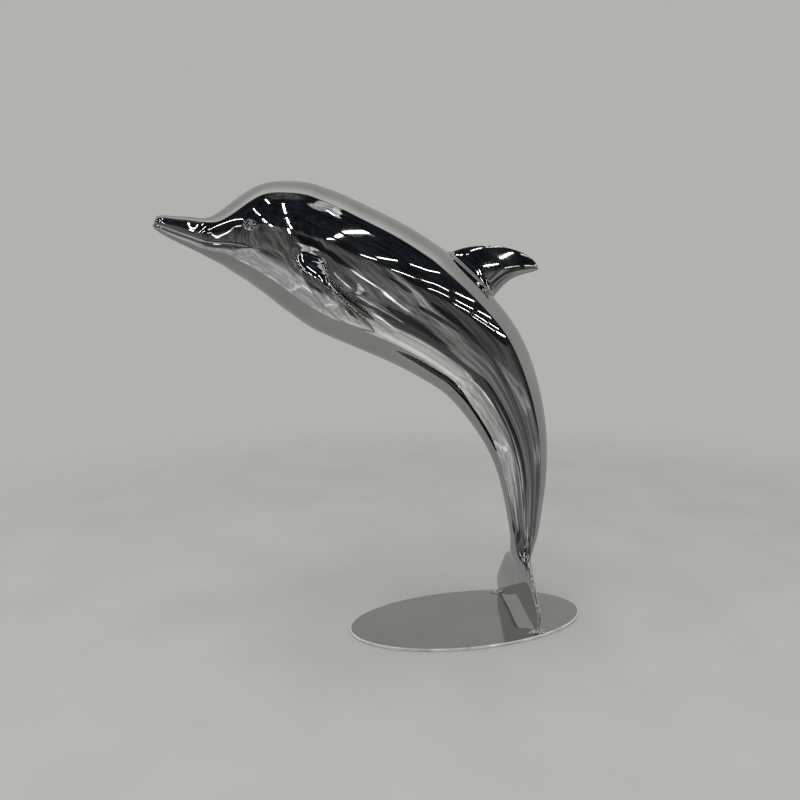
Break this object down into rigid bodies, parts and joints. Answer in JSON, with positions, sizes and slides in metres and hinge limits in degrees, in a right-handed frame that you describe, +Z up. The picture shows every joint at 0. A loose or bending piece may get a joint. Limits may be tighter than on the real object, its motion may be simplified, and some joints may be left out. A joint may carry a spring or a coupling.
{
  "type": "dolphin sculpture",
  "caption": "Polished stainless steel dolphin arched over a thin oval base plate, standing on the tips of its flukes.",
  "frame": {"origin": "middle of the base plate's underside", "axes": "+Z up, head towards -X, the dolphin's left side towards -Y"},
  "size_m": [0.4039, 0.1356, 0.4362],
  "materials": {
    "mirror_steel": "mirror polished stainless steel",
    "plate_steel": "polished stainless steel sheet"
  },
  "bodies": {
    "root": {"dolphin": "mirror_steel", "base_plate": "plate_steel"}
  },
  "joints": []
}
